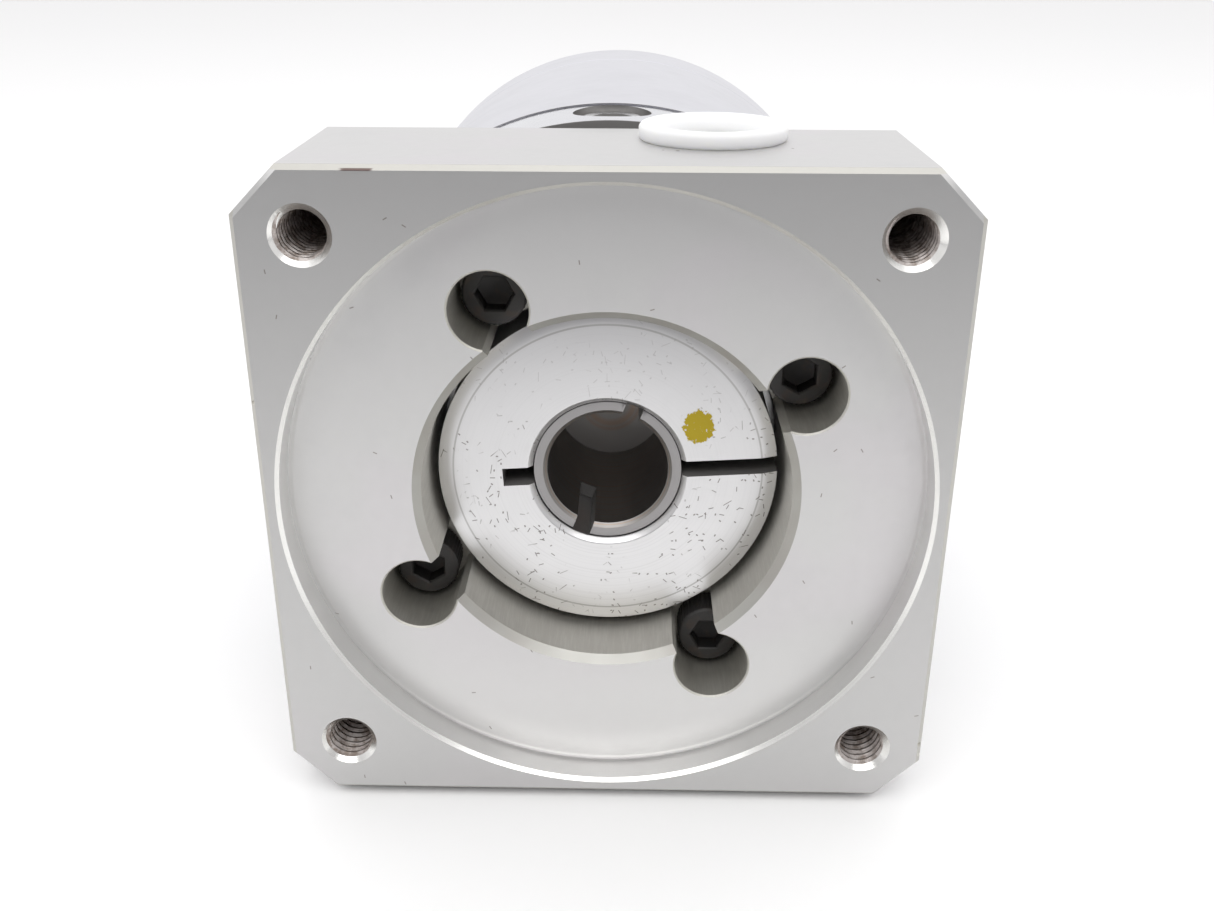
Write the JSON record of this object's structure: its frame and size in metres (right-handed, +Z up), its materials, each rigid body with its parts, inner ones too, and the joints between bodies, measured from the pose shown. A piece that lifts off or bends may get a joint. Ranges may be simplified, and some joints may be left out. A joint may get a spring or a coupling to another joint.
{
  "type": "inline gear reducer",
  "caption": "Inline planetary servo gear reducer: square motor adapter with a clamp-collar input, round steel body and a keyed output shaft.",
  "frame": {"origin": "centre of the part's box on the surface it lies on, under the shafts' axis", "axes": "+Z up; +Y along the shafts' axis from the motor side to the output shaft's end; +X to the right when looking at the motor face"},
  "size_m": [0.102, 0.198, 0.1033],
  "materials": {
    "machined_aluminium": "satin milled",
    "polyethylene": "translucent waxy",
    "black_oxide_steel": "black oxide",
    "collar_steel": "turned",
    "gear_steel": "ground and oiled",
    "rubber": "matte",
    "bearing_steel": "ground",
    "cage_steel": "pressed",
    "spring_steel": "phosphated",
    "polished_steel": "polished",
    "satin_steel": "bright satin",
    "shaft_steel": "ground",
    "bronze": "turned"
  },
  "bodies": {
    "housing": {"motor_adapter": "machined_aluminium", "adapter_screw_1": "black_oxide_steel", "adapter_screw_2": "black_oxide_steel", "adapter_screw_3": "black_oxide_steel", "adapter_screw_4": "black_oxide_steel", "input_housing": "polished_steel", "oil_port_plug": "shaft_steel", "input_seal": "rubber", "input_bearing_outer_ring": "bearing_steel", "housing_circlip": "spring_steel", "input_o_ring": "rubber", "input_housing_screw_1": "black_oxide_steel", "input_housing_screw_2": "black_oxide_steel", "input_housing_screw_3": "black_oxide_steel", "input_housing_screw_4": "black_oxide_steel", "ring_gear_housing": "satin_steel", "output_front_bearing_outer_ring": "bearing_steel", "output_rear_bearing_outer_ring": "bearing_steel", "output_housing": "satin_steel", "output_o_ring": "rubber", "output_seal": "rubber", "output_housing_screw_1": "black_oxide_steel", "output_housing_screw_2": "black_oxide_steel", "output_housing_screw_3": "black_oxide_steel", "output_housing_screw_4": "black_oxide_steel"},
    "input": {"clamp_collar": "collar_steel", "input_shaft": "collar_steel", "sun_gear": "gear_steel", "input_bearing_inner_ring": "bearing_steel", "shaft_circlip": "spring_steel"},
    "clamp": {"clamp_screw": "black_oxide_steel"},
    "plug": {"access_plug": "polyethylene"},
    "output": {"planet_carrier": "gear_steel", "output_shaft": "shaft_steel", "output_key": "shaft_steel", "planet_pin_1": "shaft_steel", "planet_pin_2": "shaft_steel", "planet_pin_3": "shaft_steel", "front_thrust_washer_1": "bronze", "front_thrust_washer_2": "bronze", "front_thrust_washer_3": "bronze", "rear_thrust_washer_1": "bronze", "rear_thrust_washer_2": "bronze", "rear_thrust_washer_3": "bronze", "output_front_bearing_inner_ring": "bearing_steel", "output_rear_bearing_inner_ring": "bearing_steel", "bearing_spacer": "shaft_steel"},
    "planet_1": {"planet_gear_1": "gear_steel", "planet_bush_1": "bronze"},
    "planet_2": {"planet_gear_2": "gear_steel", "planet_bush_2": "bronze"},
    "planet_3": {"planet_gear_3": "gear_steel", "planet_bush_3": "bronze"},
    "input_cage": {"input_bearing_ball_cage": "cage_steel"},
    "output_front_cage": {"output_front_bearing_ball_cage": "cage_steel"},
    "output_rear_cage": {"output_rear_bearing_ball_cage": "cage_steel"}
  },
  "joints": [
    {"name": "output_spin", "type": "hinge", "parent": "housing", "child": "output", "pos_m": [0, 0.051, 0.051], "axis": [0, 1, 0], "continuous": true},
    {"name": "input_spin", "type": "hinge", "parent": "housing", "child": "input", "pos_m": [0, -0.069, 0.051], "axis": [0, 1, 0], "continuous": true},
    {"name": "planet_1_spin", "type": "hinge", "parent": "output", "child": "planet_1", "pos_m": [0, -0.024, 0.078], "axis": [0, 1, 0], "continuous": true},
    {"name": "planet_2_spin", "type": "hinge", "parent": "output", "child": "planet_2", "pos_m": [-0.02338, -0.024, 0.0375], "axis": [0, 1, 0], "continuous": true},
    {"name": "planet_3_spin", "type": "hinge", "parent": "output", "child": "planet_3", "pos_m": [0.02338, -0.024, 0.0375], "axis": [0, 1, 0], "continuous": true},
    {"name": "input_cage_spin", "type": "hinge", "parent": "housing", "child": "input_cage", "pos_m": [0, -0.0565, 0.051], "axis": [0, 1, 0], "continuous": true},
    {"name": "output_front_cage_spin", "type": "hinge", "parent": "housing", "child": "output_front_cage", "pos_m": [0, 0.006, 0.051], "axis": [0, 1, 0], "continuous": true},
    {"name": "output_rear_cage_spin", "type": "hinge", "parent": "housing", "child": "output_rear_cage", "pos_m": [0, 0.0265, 0.051], "axis": [0, 1, 0], "continuous": true},
    {"name": "clamp_screw_turn", "type": "hinge", "parent": "input", "child": "clamp", "pos_m": [0.01504, -0.0769, 0.05192], "axis": [-0.061, 0, 0.9981], "range_deg": [0, 360]},
    {"name": "access_plug_pull", "type": "slide", "parent": "housing", "child": "plug", "axis": [0, 0, 1], "range_m": [0, 0.012]}
  ],
  "couplings": [
    {"joint": "input_spin", "follows": "output_spin", "ratio": 4},
    {"joint": "planet_1_spin", "follows": "output_spin", "ratio": -3},
    {"joint": "planet_2_spin", "follows": "output_spin", "ratio": -3},
    {"joint": "planet_3_spin", "follows": "output_spin", "ratio": -3},
    {"joint": "input_cage_spin", "follows": "output_spin", "ratio": 1.761},
    {"joint": "output_front_cage_spin", "follows": "output_spin", "ratio": 0.42764},
    {"joint": "output_rear_cage_spin", "follows": "output_spin", "ratio": 0.42764}
  ]
}
